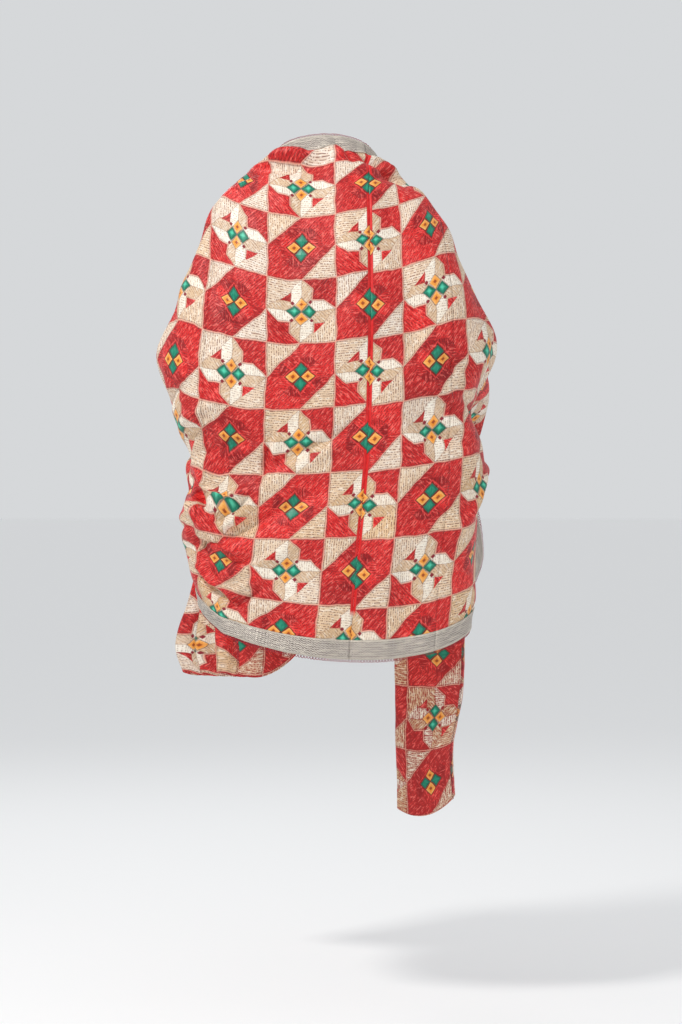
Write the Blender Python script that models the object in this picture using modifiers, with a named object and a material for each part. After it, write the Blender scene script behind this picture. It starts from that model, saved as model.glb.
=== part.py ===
"""Phulkari shawl worn round the shoulders, open down the front, with nobody inside it.

Metres, +Z up. The back of the shawl faces -Y, the wearer faces +Y and the wearer's right hand is on +X.
The origin is the nape, where the shawl is carried. One flat cloth is described by two lengths:
"along" runs from the left end (minus) past the spine (0) to the right end (plus), and
"down" runs across the cloth's width, from the neck edge (0) to the hem.
"""

import math

import bmesh
import bpy
import numpy as np

# The flat cloth and its trims.
CLOTH_WIDTH = 0.935
LEFT_END = -1.14
RIGHT_END = 1.36
CLOTH_WALL = 0.0015
RIBBON_WIDTH = 0.032
RIBBON_WALL = 0.001
PICOT_REACH = 0.005
PICOT_WALL = 0.0012
SEAM_GAP = 0.0008
TRIM_GAP = 0.0006
LEAST_SPREAD = 0.4

# Where each stretch of the cloth begins and ends along it.
STRETCHES = (
    # name, from, to
    ("left_fall", -1.14, -0.80),
    ("left_front", -0.80, -0.36),
    ("left_arm", -0.36, -0.22),
    ("back_left", -0.22, 0.07),
    ("back_right", 0.07, 0.22),
    ("right_arm", 0.22, 0.36),
    ("right_front", 0.36, 0.80),
    ("right_fall", 0.80, 1.36),
)

# How finely the cloth is faceted along it.
FACETS = (
    # from, to, facets
    (-1.14, -0.96, 2),
    (-0.96, -0.80, 3),
    (-0.80, -0.76, 1),
    (-0.76, -0.69, 3),
    (-0.69, -0.36, 11),
    (-0.36, -0.22, 4),
    (-0.22, 0.07, 8),
    (0.07, 0.22, 4),
    (0.22, 0.36, 4),
    (0.36, 0.69, 9),
    (0.69, 0.76, 3),
    (0.76, 0.80, 1),
    (0.80, 0.96, 3),
    (0.96, 1.36, 4),
)

# The spine of the back, from the neck edge to the hem. "tilt" is how steeply the rows rise toward +X there.
SPINE = (
    # down, x, y, z, tilt
    (0.000, 0.000, 0.012, 0.026, 0.00),
    (0.031, 0.002, 0.000, -0.003, 0.02),
    (0.054, 0.003, -0.014, -0.020, 0.06),
    (0.108, 0.004, -0.047, -0.063, 0.10),
    (0.184, 0.005, -0.076, -0.133, 0.12),
    (0.283, 0.006, -0.098, -0.230, 0.12),
    (0.432, 0.005, -0.112, -0.378, 0.12),
    (0.582, 0.000, -0.118, -0.528, 0.10),
    (0.777, -0.018, -0.125, -0.722, 0.00),
    (0.935, -0.032, -0.130, -0.878, -0.14),
)

# The outline over the shoulders and down the arms, right and left. "out" is measured away from the spine.
RIGHT_SIDE = (
    # down, out, y, z
    (0.000, 0.090, 0.055, -0.018),
    (0.050, 0.100, 0.050, -0.036),
    (0.120, 0.142, 0.040, -0.068),
    (0.200, 0.193, 0.026, -0.114),
    (0.290, 0.236, 0.010, -0.192),
    (0.390, 0.270, 0.000, -0.292),
    (0.455, 0.287, 0.000, -0.356),
    (0.550, 0.254, 0.000, -0.456),
    (0.605, 0.268, 0.000, -0.506),
    (0.780, 0.261, 0.000, -0.682),
    (0.935, 0.256, 0.002, -0.828),
)
LEFT_SIDE = (
    (0.000, 0.102, 0.057, -0.022),
    (0.050, 0.124, 0.051, -0.034),
    (0.120, 0.166, 0.040, -0.062),
    (0.200, 0.208, 0.026, -0.118),
    (0.290, 0.240, 0.010, -0.200),
    (0.390, 0.266, 0.000, -0.298),
    (0.455, 0.288, 0.000, -0.372),
    (0.540, 0.272, 0.000, -0.448),
    (0.640, 0.230, 0.000, -0.568),
    (0.730, 0.256, 0.004, -0.642),
    (0.830, 0.240, 0.006, -0.716),
    (0.935, 0.224, 0.015, -0.790),
)

# The way the cloth travels as it passes the outline, the same on both sides.
PASSING = (
    # down, out, forward, up
    (0.000, 0.10, 0.72, -0.68),
    (0.120, 0.20, 0.72, -0.66),
    (0.250, 0.15, 0.80, -0.58),
    (0.400, 0.00, 0.92, -0.38),
    (0.550, 0.00, 1.00, -0.05),
    (0.935, 0.00, 0.97, 0.22),
)

# Lengths of the handles that round each ring: at the spine, before and past the outline, and into the hand.
SPINE_HANDLE = 0.62
BEFORE_HANDLE = 0.27
PAST_HANDLE = 0.36
HAND_HANDLE = 0.34
TRUE_LENGTH_TO = 0.30
RING_STEPS = 60

# Where each hand holds the gathered cloth, and the way the cloth travels into it.
HANDS = {
    "right": {"out": 0.187, "forward": 0.215, "up": -0.550},
    "left": {"out": 0.170, "forward": 0.215, "up": -0.510},
}
INTO_HAND = (-0.20, 0.98, 0.0)
PLEATS_BEGIN = 0.37
HAND_AT = 0.69
BEND_RADIUS = 0.045
OUTWARD = (0.88, 0.46, 0.08)

# Flat pleats stacked in each fall, and the half spacing of each to the next one.
PLEAT_HALF_GAPS = (0.0045, 0.0045, 0.0045, 0.0045, 0.0045, 0.0055)
PLEAT_COUNT = 7

# How each fall hangs below the hand: sideways sway, how far the stack leans open, its turn about
# the upright, how its pleats lift toward both folds and toward one of them, the share of their width
# that they draw in, and how far their folds curl out of the flat as they do.
RIGHT_FALL = (
    # drop, sway, lean, turn, round_lift, side_lift, drawn_in, curl
    (0.00, 0.000, 0.000, 0.00, 0.000, 0.000, 0.00, 0.000),
    (0.10, 0.005, 0.002, 0.12, 0.000, 0.000, 0.00, 0.000),
    (0.25, 0.011, 0.003, 0.20, 0.000, 0.000, 0.01, -0.001),
    (0.38, 0.011, 0.004, 0.22, 0.004, 0.002, 0.06, -0.010),
    (0.50, 0.003, 0.004, 0.22, 0.010, 0.006, 0.21, -0.019),
    (0.61, 0.006, 0.004, 0.22, 0.018, 0.010, 0.20, -0.020),
)
LEFT_FALL = (
    (0.00, 0.000, 0.000, 0.00, 0.000, 0.000, 0.00, 0.000),
    (0.10, 0.000, 0.022, 0.10, 0.000, -0.004, 0.00, 0.000),
    (0.24, 0.000, 0.080, 0.20, 0.002, -0.014, 0.00, 0.000),
    (0.32, 0.002, 0.120, 0.20, 0.008, -0.020, 0.00, 0.000),
    (0.39, 0.000, 0.102, 0.20, 0.016, -0.022, 0.00, 0.000),
)

# Soft troughs and ridges in the spread cloth: centre, the way it runs, its half length and half width, its depth.
FOLDS = (
    # along, down, run along, run down, half length, half width, depth
    (-0.215, 0.640, 0.92, -0.39, 0.100, 0.030, 0.022),
    (-0.235, 0.715, 0.90, -0.43, 0.100, 0.030, -0.016),
    (-0.190, 0.850, 0.80, -0.60, 0.110, 0.028, 0.014),
    (-0.070, 0.600, 0.90, -0.44, 0.110, 0.024, 0.007),
    (0.135, 0.105, 0.80, 0.60, 0.060, 0.024, 0.008),
    (0.180, 0.560, 0.60, 0.80, 0.120, 0.030, 0.008),
)

MATERIALS = {
    # name: colour, roughness, metallic
    "cloth": ((0.56, 0.03, 0.04), 0.62, 0.0),
    "ribbon": ((0.50, 0.47, 0.42), 0.42, 0.35),
    "picots": ((0.16, 0.02, 0.04), 0.55, 0.0),
}


def smooth(table, column, at):
    """Reads one column of a table at any place, with a curve that is smooth through its rows."""
    rows = np.array(table)
    knots = rows[:, 0]
    values = rows[:, column]
    slopes = np.gradient(values, knots)
    at = np.clip(at, knots[0], knots[-1])
    i = np.clip(np.searchsorted(knots, at, side="right") - 1, 0, len(knots) - 2)
    span = knots[i + 1] - knots[i]
    t = (at - knots[i]) / span
    start = (2 * t**3 - 3 * t**2 + 1) * values[i] + (t**3 - 2 * t**2 + t) * span * slopes[i]
    end = (3 * t**2 - 2 * t**3) * values[i + 1] + (t**3 - t**2) * span * slopes[i + 1]
    return start + end


def ease(at, begin, end):
    t = np.clip((at - begin) / (end - begin), 0.0, 1.0)
    return t * t * (3 - 2 * t)


def unit(vectors):
    return vectors / np.linalg.norm(vectors, axis=-1, keepdims=True)


def pleat_turns():
    return [math.pi * half for half in PLEAT_HALF_GAPS]


def pleat_flat():
    """Width of the flat part of a pleat."""
    return (CLOTH_WIDTH - sum(pleat_turns())) / PLEAT_COUNT


def pleat_starts():
    """Distance down the cloth at which each pleat starts, and its place in the stack."""
    down = [0.0]
    through = [0.0]
    for turn, half in zip(pleat_turns(), PLEAT_HALF_GAPS):
        down.append(down[-1] + pleat_flat() + turn)
        through.append(through[-1] + 2 * half)
    return np.array(down), np.array(through)


def pleat_section(down):
    """The closed pleats in section: places across their faces, and through the stack."""
    starts, through = pleat_starts()
    flat = pleat_flat()
    half_gaps = np.array(PLEAT_HALF_GAPS + (0.0,))
    turns = np.array(pleat_turns() + [RIBBON_WIDTH])
    k = np.clip(np.searchsorted(starts, down, side="right") - 1, 0, PLEAT_COUNT - 1)
    t = down - starts[k]
    way = np.where(k % 2 == 0, 1.0, -1.0)
    angle = math.pi * np.clip((t - flat) / turns[k], 0.0, 1.0)
    on_face = np.where(k < PLEAT_COUNT - 1, np.minimum(t, flat), t)
    across = way * (on_face - flat / 2 + half_gaps[k] * np.sin(angle))
    stacked = through[k] + half_gaps[k] * (1 - np.cos(angle))
    return across, stacked - through[-1] / 2


def bezier(a, b, c, d, t):
    return (1 - t) ** 3 * a + 3 * (1 - t) ** 2 * t * b + 3 * (1 - t) * t**2 * c + t**3 * d


def hand(side):
    place = HANDS["right" if side > 0 else "left"]
    return np.array([place["out"], place["forward"], place["up"]])


def rings(side, down):
    """The ring at each distance down: fine points from the spine, past the outline, into the hand."""
    outline = RIGHT_SIDE if side > 0 else LEFT_SIDE
    spine = np.stack([side * smooth(SPINE, 1, down), smooth(SPINE, 2, down), smooth(SPINE, 3, down)], axis=-1)
    tilt = side * smooth(SPINE, 4, down)
    leaving = unit(np.stack([np.ones_like(tilt), np.zeros_like(tilt), tilt], axis=-1))
    passed = np.stack([smooth(outline, c, down) for c in (1, 2, 3)], axis=-1)
    passing = unit(np.stack([smooth(PASSING, c, down) for c in (1, 2, 3)], axis=-1))
    stacked = pleat_section(down)[1]
    held = hand(side) + np.array([0.0, 0.0, -1.0]) * stacked[:, None]
    arriving = unit(np.array(INTO_HAND))
    first = np.linalg.norm(passed - spine, axis=-1, keepdims=True)
    second = np.linalg.norm(held - passed, axis=-1, keepdims=True)
    t = np.linspace(0.0, 1.0, RING_STEPS)[:, None, None]
    back = bezier(
        spine,
        spine + leaving * first * SPINE_HANDLE,
        passed - passing * first * BEFORE_HANDLE,
        passed,
        t,
    )
    front = bezier(
        passed,
        passed + passing * second * PAST_HANDLE,
        held - arriving * second * HAND_HANDLE,
        held,
        t,
    )
    return np.concatenate([back, front[1:]])


def spread_cloth(side, along, down):
    """The cloth without its pleats, from the spine to the hand, in lengths measured outward."""
    path = rings(side, down)
    steps = np.linalg.norm(np.diff(path, axis=0), axis=-1)
    length = np.concatenate([np.zeros((1, len(down))), np.cumsum(steps, axis=0)])
    points = np.zeros((len(along), len(down), 3))
    for j in range(len(down)):
        total = length[-1, j]
        rest = (total - TRUE_LENGTH_TO) / (HAND_AT - TRUE_LENGTH_TO)
        at = np.where(along < TRUE_LENGTH_TO, along, TRUE_LENGTH_TO + (along - TRUE_LENGTH_TO) * rest)
        for axis in range(3):
            points[:, j, axis] = np.interp(at, length[:, j], path[:, j, axis])
    return points


def pleat_depth(side, along):
    """How far the pleats stand at each place along, so that the gathered cloth keeps its width."""
    fine = np.linspace(0.0, CLOTH_WIDTH, 121)
    base = spread_cloth(side, along, fine)
    width = np.linalg.norm(np.diff(base, axis=1), axis=-1).sum(axis=1)
    taken_up = np.sqrt(1 - np.minimum(width / CLOTH_WIDTH, 1.0) ** 2)
    return taken_up * ease(along, PLEATS_BEGIN, PLEATS_BEGIN + 0.14)


def gathering(side, along, down):
    """From the spine to the hand: the spread cloth with pleats that deepen toward the hand."""
    base = spread_cloth(side, along, down)
    across = pleat_section(down)[0]
    half = pleat_flat() / 2
    starts = pleat_starts()[0]
    phase = np.interp(down, list(starts) + [CLOTH_WIDTH], list(range(PLEAT_COUNT + 1)))
    wave = -np.cos(math.pi * phase)[None, :] * np.ones((len(along), 1))
    closed = ease(along, PLEATS_BEGIN + 0.05, HAND_AT - 0.03)[:, None]
    shape = wave * (1 - closed) + across / half * closed
    arriving = unit(np.array(INTO_HAND))
    at_hand = np.array([arriving[1], -arriving[0], 0.0])
    turned = ease(along, PLEATS_BEGIN + 0.1, HAND_AT)[:, None]
    outward = unit(unit(np.array(OUTWARD)) * (1 - turned) + at_hand * turned)
    lift = half * pleat_depth(side, along)[:, None] * shape
    return base + lift[:, :, None] * outward[:, None, :]


def falling(side, along, down):
    """Past the hand: the closed pleats bend over it and hang."""
    table = RIGHT_FALL if side > 0 else LEFT_FALL
    across, stacked = (np.tile(section, (len(along), 1)) for section in pleat_section(down))
    past = along - HAND_AT
    bent = np.minimum(past / BEND_RADIUS, math.pi / 2)
    drop = np.maximum(past - BEND_RADIUS * math.pi / 2, 0.0)
    arriving = unit(np.array(INTO_HAND))
    up = np.array([0.0, 0.0, 1.0])
    turn = smooth(table, 3, drop)
    heading = np.stack(
        [
            arriving[0] * np.cos(turn) + arriving[1] * np.sin(turn),
            arriving[1] * np.cos(turn) - arriving[0] * np.sin(turn),
            np.zeros_like(turn),
        ],
        axis=-1,
    )
    facing = np.stack([heading[:, 1], -heading[:, 0], np.zeros_like(turn)], axis=-1)
    centre = hand(side) + BEND_RADIUS * np.sin(bent)[:, None] * arriving
    centre = centre - (BEND_RADIUS * (1 - np.cos(bent)) + drop)[:, None] * up
    centre[:, 0] += smooth(table, 1, drop)
    through = -up * np.cos(bent)[:, None] - heading * np.sin(bent)[:, None]
    half = pleat_flat() / 2
    depth = pleat_starts()[1][-1]
    share = across / half
    drawn = across * (1 - smooth(table, 6, drop)[:, None])
    leaned = drawn - smooth(table, 2, drop)[:, None] * (stacked / depth)
    curled = stacked + smooth(table, 7, drop)[:, None] * share**2
    points = centre[:, None, :] + leaned[:, :, None] * facing[:, None, :] + curled[:, :, None] * through[:, None, :]
    points[:, :, 2] += smooth(table, 4, drop)[:, None] * share**2 + smooth(table, 5, drop)[:, None] * share
    return points


def folded(along, down, points):
    """Presses the soft folds into the spread cloth."""
    a = along[:, None]
    d = down[None, :]
    for fold in FOLDS:
        run = unit(np.array(fold[2:4]))
        lengthwise = (a - fold[0]) * run[0] + (d - fold[1]) * run[1]
        crosswise = (d - fold[1]) * run[0] - (a - fold[0]) * run[1]
        weight = np.exp(-((lengthwise / fold[4]) ** 2) - (crosswise / fold[5]) ** 2)
        points[:, :, 1] += fold[6] * weight
    return points


def drape(along, down):
    """Points of the worn cloth for every pair of along and down."""
    along = np.asarray(along, dtype=float)
    down = np.asarray(down, dtype=float)
    points = np.zeros((len(along), len(down), 3))
    for side in (1, -1):
        here = (along >= 0) if side > 0 else (along < 0)
        distance = np.abs(along)
        for part, chosen in (
            (gathering, here & (distance < HAND_AT)),
            (falling, here & (distance >= HAND_AT)),
        ):
            if chosen.any():
                made = part(side, distance[chosen], down)
                made[:, :, 0] *= side
                points[chosen] = made
    return folded(along, down, points)


def face_rows():
    """Distances down the cloth at which the facets meet, so that every pleat keeps its shape."""
    starts = pleat_starts()[0]
    rows = []
    for k, start in enumerate(starts):
        flat_end = start + pleat_flat()
        rows += [start, (start + flat_end) / 2, flat_end]
        if k < PLEAT_COUNT - 1:
            rows.append(flat_end + pleat_turns()[k] / 2)
    rows[1:2] = [RIBBON_WIDTH, (RIBBON_WIDTH + pleat_flat()) / 2]
    rows[-1:] = [CLOTH_WIDTH - RIBBON_WIDTH, CLOTH_WIDTH]
    return np.array(rows)


def moved_out(points, distance):
    """The same points at an even distance outside the cloth, clear of every facet they belong to."""
    down = np.diff(points, axis=1)
    along = np.diff(points, axis=0)
    corners = (
        # the facet's sides, and the points it touches
        (down[1:], along[:, :-1], ((0, 0), (1, 0), (1, 1))),
        (down[:-1], along[:, 1:], ((0, 0), (0, 1), (1, 1))),
    )
    facing = [[] for _ in range(points.shape[0] * points.shape[1])]
    for downward, onward, touched in corners:
        normals = unit(np.cross(downward, onward))
        for i in range(normals.shape[0]):
            for j in range(normals.shape[1]):
                for step_along, step_down in touched:
                    facing[(i + step_along) * points.shape[1] + j + step_down].append(normals[i, j])
    moved = points.reshape(-1, 3).copy()
    for index, normals in enumerate(facing):
        middle = unit(np.sum(normals, axis=0))
        least = min(float(middle @ normal) for normal in normals)
        moved[index] += middle * distance / max(least, LEAST_SPREAD)
    return moved.reshape(points.shape)


def face_columns():
    """The places along the cloth at which the facets meet."""
    columns = [LEFT_END]
    for start, finish, facets in FACETS:
        columns += list(np.linspace(start, finish, facets + 1)[1:])
    return np.round(np.array(columns), 6)


def between_seams(points, columns, begin, end):
    """One stretch of a grid of points, drawn in a little at the seams it shares with its neighbours."""
    chosen = (columns >= begin) & (columns <= end)
    piece = points[chosen].copy()
    if begin != LEFT_END:
        piece[0] += unit(piece[1] - piece[0]) * SEAM_GAP / 2
    if end != RIGHT_END:
        piece[-1] += unit(piece[-2] - piece[-1]) * SEAM_GAP / 2
    return piece


def add_sheet(name, points, wall, material, collection):
    """One closed thin wall through a grid of points."""
    columns, rows = points.shape[:2]
    grid = bmesh.new()
    bmesh.ops.create_grid(grid, x_segments=columns - 1, y_segments=rows - 1, size=1.0)
    grid.verts.ensure_lookup_table()
    for index, vertex in enumerate(grid.verts):
        vertex.co = points[index % columns, index // columns]
    bmesh.ops.triangulate(grid, faces=grid.faces, quad_method="FIXED")
    mesh = bpy.data.meshes.new(name)
    grid.to_mesh(mesh)
    grid.free()
    sheet = bpy.data.objects.new(name, mesh)
    collection.objects.link(sheet)
    mesh.materials.append(material)
    solid = sheet.modifiers.new("wall", "SOLIDIFY")
    solid.thickness = wall
    solid.offset = 0.0
    solid.use_even_offset = True
    return sheet


def add_material(name, kind):
    colour, roughness, metallic = MATERIALS[kind]
    material = bpy.data.materials.new(name)
    material.use_nodes = True
    shader = material.node_tree.nodes["Principled BSDF"]
    shader.inputs["Base Color"].default_value = (*colour, 1.0)
    shader.inputs["Roughness"].default_value = roughness
    shader.inputs["Metallic"].default_value = metallic
    material.diffuse_color = (*colour, 1.0)
    return material


def edging(edge, inner):
    """A narrow strip that carries on past an edge of the cloth, in the cloth's own direction."""
    run = unit(np.gradient(edge, axis=0))
    beyond = edge - inner
    beyond = unit(beyond - run * np.sum(beyond * run, axis=-1, keepdims=True))
    near = edge + beyond * TRIM_GAP
    return np.stack([near, near + beyond * PICOT_REACH], axis=1)


def build():
    for old in list(bpy.data.objects):
        bpy.data.objects.remove(old, do_unlink=True)
    collection = bpy.data.collections.new("phulkari_shawl")
    bpy.context.scene.collection.children.link(collection)
    columns = face_columns()
    rows = face_rows()
    cloth = drape(columns, rows)
    lifted = moved_out(cloth, CLOTH_WALL / 2 + TRIM_GAP + RIBBON_WALL / 2)
    neck = rows <= RIBBON_WIDTH + TRIM_GAP
    hem = rows >= CLOTH_WIDTH - RIBBON_WIDTH - TRIM_GAP
    sheets = (
        # name before the stretch's, points, wall, material
        ("", cloth, CLOTH_WALL, "cloth"),
        ("neck_ribbon_", lifted[:, neck], RIBBON_WALL, "ribbon"),
        ("hem_ribbon_", lifted[:, hem], RIBBON_WALL, "ribbon"),
        ("neck_picots_", edging(cloth[:, 0], cloth[:, 1]), PICOT_WALL, "picots"),
        ("hem_picots_", edging(cloth[:, -1], cloth[:, -2]), PICOT_WALL, "picots"),
    )
    for stretch, begin, end in STRETCHES:
        for before, points, wall, kind in sheets:
            name = before + stretch
            piece = between_seams(points, columns, begin, end)
            add_sheet(name, piece, wall, add_material(name, kind), collection)


build()
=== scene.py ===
import math

import bpy
import numpy as np
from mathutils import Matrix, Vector


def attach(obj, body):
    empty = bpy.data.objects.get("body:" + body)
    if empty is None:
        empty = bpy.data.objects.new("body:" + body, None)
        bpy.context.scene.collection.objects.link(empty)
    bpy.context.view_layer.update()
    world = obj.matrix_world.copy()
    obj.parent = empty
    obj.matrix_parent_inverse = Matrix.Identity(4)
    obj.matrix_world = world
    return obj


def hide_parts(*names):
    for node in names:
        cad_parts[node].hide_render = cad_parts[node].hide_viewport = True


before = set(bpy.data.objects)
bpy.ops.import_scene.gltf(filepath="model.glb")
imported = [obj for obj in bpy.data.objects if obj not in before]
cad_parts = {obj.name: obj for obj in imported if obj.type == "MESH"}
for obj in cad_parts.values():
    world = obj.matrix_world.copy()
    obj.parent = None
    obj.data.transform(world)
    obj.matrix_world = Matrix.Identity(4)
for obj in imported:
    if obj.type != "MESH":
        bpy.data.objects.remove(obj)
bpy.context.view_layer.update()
scene = bpy.context.scene

# Camera and plain studio, level with the middle of the whole figure.
studio = {
    "camera": (0.0245, -4.2, -0.634),
    "lens": 84.375,
    "sensor": 36.0,
    "floor": -1.505,
    "floorRadius": 300.0,
    "floorSides": 96,
    "paper": (0.96, 0.96, 0.96),
    "paperRoughness": 0.9,
    "air": (0.96, 0.98, 1.0),
    "airStrength": 0.70,
    # name, place, target, size, power, colour
    "lights": (
        ("keyLight", (-1.5, -1.6, 1.8), (0, 0, -0.30), (0.45, 0.45), 52.0, (1.0, 0.985, 0.96)),
        ("fillLight", (2.6, -2.6, 0.2), (0, 0, -0.5), (1.6, 2.2), 9.0, (0.97, 0.985, 1.0)),
        ("farLight", (-0.6, 3.2, 1.6), (0, 0, -0.4), (1.8, 1.4), 16.0, (1.0, 1.0, 1.0)),
    ),
}


def aimed(obj, target):
    way = Vector(target) - obj.location
    obj.rotation_euler = way.to_track_quat("-Z", "Y").to_euler()


def addLight(name, place, target, size, power, colour):
    data = bpy.data.lights.new(name, "AREA")
    data.shape = "RECTANGLE"
    data.size, data.size_y = size
    data.energy = power
    data.color = colour
    lamp = bpy.data.objects.new(name, data)
    scene.collection.objects.link(lamp)
    lamp.location = place
    aimed(lamp, target)


def makeStudio():
    data = bpy.data.cameras.new("camera")
    data.sensor_fit = "VERTICAL"
    data.sensor_width = studio["sensor"]
    data.sensor_height = studio["sensor"]
    data.lens = studio["lens"]
    camera = bpy.data.objects.new("camera", data)
    scene.collection.objects.link(camera)
    camera.location = studio["camera"]
    camera.rotation_euler = (math.pi / 2, 0, 0)
    scene.camera = camera
    world = bpy.data.worlds.new("studioAir")
    scene.world = world
    world.use_nodes = True
    air = world.node_tree.nodes["Background"]
    air.inputs["Color"].default_value = (*studio["air"], 1.0)
    air.inputs["Strength"].default_value = studio["airStrength"]
    for light in studio["lights"]:
        addLight(*light)
    scene.view_settings.view_transform = "Standard"
    around = studio["floorSides"]
    radius = studio["floorRadius"]
    verts = [(0.0, 0.0, studio["floor"])]
    for i in range(around):
        turn = 2 * math.pi * i / around
        verts.append((radius * math.cos(turn), radius * math.sin(turn), studio["floor"]))
    faces = [(0, 1 + i, 1 + (i + 1) % around) for i in range(around)]
    mesh = bpy.data.meshes.new("floor")
    mesh.from_pydata(verts, [], faces)
    floor = bpy.data.objects.new("floor", mesh)
    scene.collection.objects.link(floor)
    paper, _, shader = newMaterial("floorPaper")
    shader.inputs["Base Color"].default_value = (*studio["paper"], 1.0)
    shader.inputs["Roughness"].default_value = studio["paperRoughness"]
    mesh.materials.append(paper)


# The worn cloth: along runs from the left end past the spine to the right end, down from neck to hem.
cloth = {
    "width": 0.935,
    "leftEnd": -1.14,
    "rightEnd": 1.36,
    "wall": 0.0015,
    "step": 0.0052,
    "flatFacets": 22,
    "turnFacets": 6,
    "seamGap": 0.0001,
    "creaseDepth": 2.3,
    "creasesFade": (0.40, 0.58),
    "fallsBegin": (0.74, 0.86),
    "edgeCalm": 0.35,
    "edgeWidth": 0.05,
    "fallRestless": 0.30,
}
stretches = (
    ("leftFall", "left_fall", -1.14, -0.80, "hung", "leftFront"),
    ("leftFront", "left_front", -0.80, -0.36, "gathered", "leftArm"),
    ("leftArm", "left_arm", -0.36, -0.22, "draped", "wearer_shoulders"),
    ("backLeft", "back_left", -0.22, 0.07, "draped", "wearer_shoulders"),
    ("backRight", "back_right", 0.07, 0.22, "draped", "wearer_shoulders"),
    ("rightArm", "right_arm", 0.22, 0.36, "draped", "wearer_shoulders"),
    ("rightFront", "right_front", 0.36, 0.80, "gathered", "rightArm"),
    ("rightFall", "right_fall", 0.80, 1.36, "hung", "rightFront"),
)

# down, x, y, z, tilt
spineTable = (
    (0.0, 0.0, 0.012, 0.026, 0.0),
    (0.031, 0.002, 0.0, -0.003, 0.02),
    (0.054, 0.003, -0.014, -0.02, 0.06),
    (0.108, 0.004, -0.047, -0.063, 0.1),
    (0.184, 0.005, -0.076, -0.133, 0.12),
    (0.283, 0.006, -0.098, -0.23, 0.12),
    (0.432, 0.005, -0.112, -0.378, 0.12),
    (0.582, 0.0, -0.118, -0.528, 0.1),
    (0.777, -0.018, -0.125, -0.722, 0.0),
    (0.935, -0.032, -0.13, -0.878, -0.14),
)
# down, out, y, z
rightSide = (
    (0.0, 0.09, 0.055, -0.018),
    (0.05, 0.1, 0.05, -0.036),
    (0.12, 0.142, 0.04, -0.068),
    (0.2, 0.193, 0.026, -0.114),
    (0.29, 0.236, 0.01, -0.192),
    (0.39, 0.27, 0.0, -0.292),
    (0.455, 0.287, 0.0, -0.356),
    (0.55, 0.254, 0.0, -0.456),
    (0.605, 0.268, 0.0, -0.506),
    (0.78, 0.261, 0.0, -0.682),
    (0.935, 0.256, 0.002, -0.828),
)
leftSide = (
    (0.0, 0.102, 0.057, -0.022),
    (0.05, 0.124, 0.051, -0.034),
    (0.12, 0.166, 0.04, -0.062),
    (0.2, 0.208, 0.026, -0.118),
    (0.29, 0.24, 0.01, -0.2),
    (0.39, 0.266, 0.0, -0.298),
    (0.455, 0.288, 0.0, -0.372),
    (0.54, 0.272, 0.0, -0.448),
    (0.64, 0.23, 0.0, -0.568),
    (0.73, 0.256, 0.004, -0.642),
    (0.83, 0.24, 0.006, -0.716),
    (0.935, 0.224, 0.015, -0.79),
)
# down, out, forward, up
passingTable = (
    (0.0, 0.1, 0.72, -0.68),
    (0.12, 0.2, 0.72, -0.66),
    (0.25, 0.15, 0.8, -0.58),
    (0.4, 0.0, 0.92, -0.38),
    (0.55, 0.0, 1.0, -0.05),
    (0.935, 0.0, 0.97, 0.22),
)
hold = {
    "right": (0.187, 0.215, -0.55),
    "left": (0.17, 0.215, -0.51),
    "into": (-0.2, 0.98, 0.0),
    "pleatsBegin": 0.37,
    "handAt": 0.69,
    "bendRadius": 0.045,
    "outward": (0.88, 0.46, 0.08),
    "spineHandle": 0.62,
    "beforeHandle": 0.27,
    "pastHandle": 0.36,
    "handHandle": 0.34,
    "trueLengthTo": 0.3,
    "ringSteps": 150,
}
pleats = {"halfGaps": (0.0045, 0.0045, 0.0045, 0.0045, 0.0045, 0.0055), "count": 7, "lastTurn": 0.032}
# drop, sway, lean, turn, roundLift, sideLift, drawnIn, curl
rightFallTable = (
    (0.0, 0.0, 0.0, 0.0, 0.0, 0.0, 0.0, 0.0),
    (0.1, 0.005, 0.002, 0.12, 0.0, 0.0, 0.0, 0.0),
    (0.25, 0.011, 0.003, 0.2, 0.0, 0.0, 0.01, -0.001),
    (0.38, 0.011, 0.004, 0.22, 0.004, 0.002, 0.06, -0.01),
    (0.5, 0.003, 0.004, 0.22, 0.01, 0.006, 0.21, -0.019),
    (0.61, 0.006, 0.004, 0.22, 0.018, 0.01, 0.2, -0.02),
)
leftFallTable = (
    (0.0, 0.0, 0.0, 0.0, 0.0, 0.0, 0.0, 0.0),
    (0.1, 0.0, 0.022, 0.1, 0.0, -0.004, 0.0, 0.0),
    (0.24, 0.0, 0.08, 0.2, 0.002, -0.014, 0.0, 0.0),
    (0.32, 0.002, 0.12, 0.2, 0.01, -0.02, 0.0, 0.0),
    (0.39, 0.0, 0.102, 0.2, 0.025, -0.022, 0.07, 0.0),
)
# The largest folds: along, down, run along, run down, half length, half width, depth.
folds = (
    (-0.215, 0.64, 0.92, -0.39, 0.1, 0.03, 0.022),
    (-0.235, 0.715, 0.9, -0.43, 0.1, 0.03, -0.016),
    (-0.19, 0.85, 0.8, -0.6, 0.11, 0.028, 0.014),
    (-0.07, 0.6, 0.9, -0.44, 0.11, 0.024, 0.007),
    (0.135, 0.105, 0.8, 0.6, 0.06, 0.024, 0.008),
    (0.18, 0.56, 0.6, 0.8, 0.12, 0.03, 0.008),
)
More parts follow.
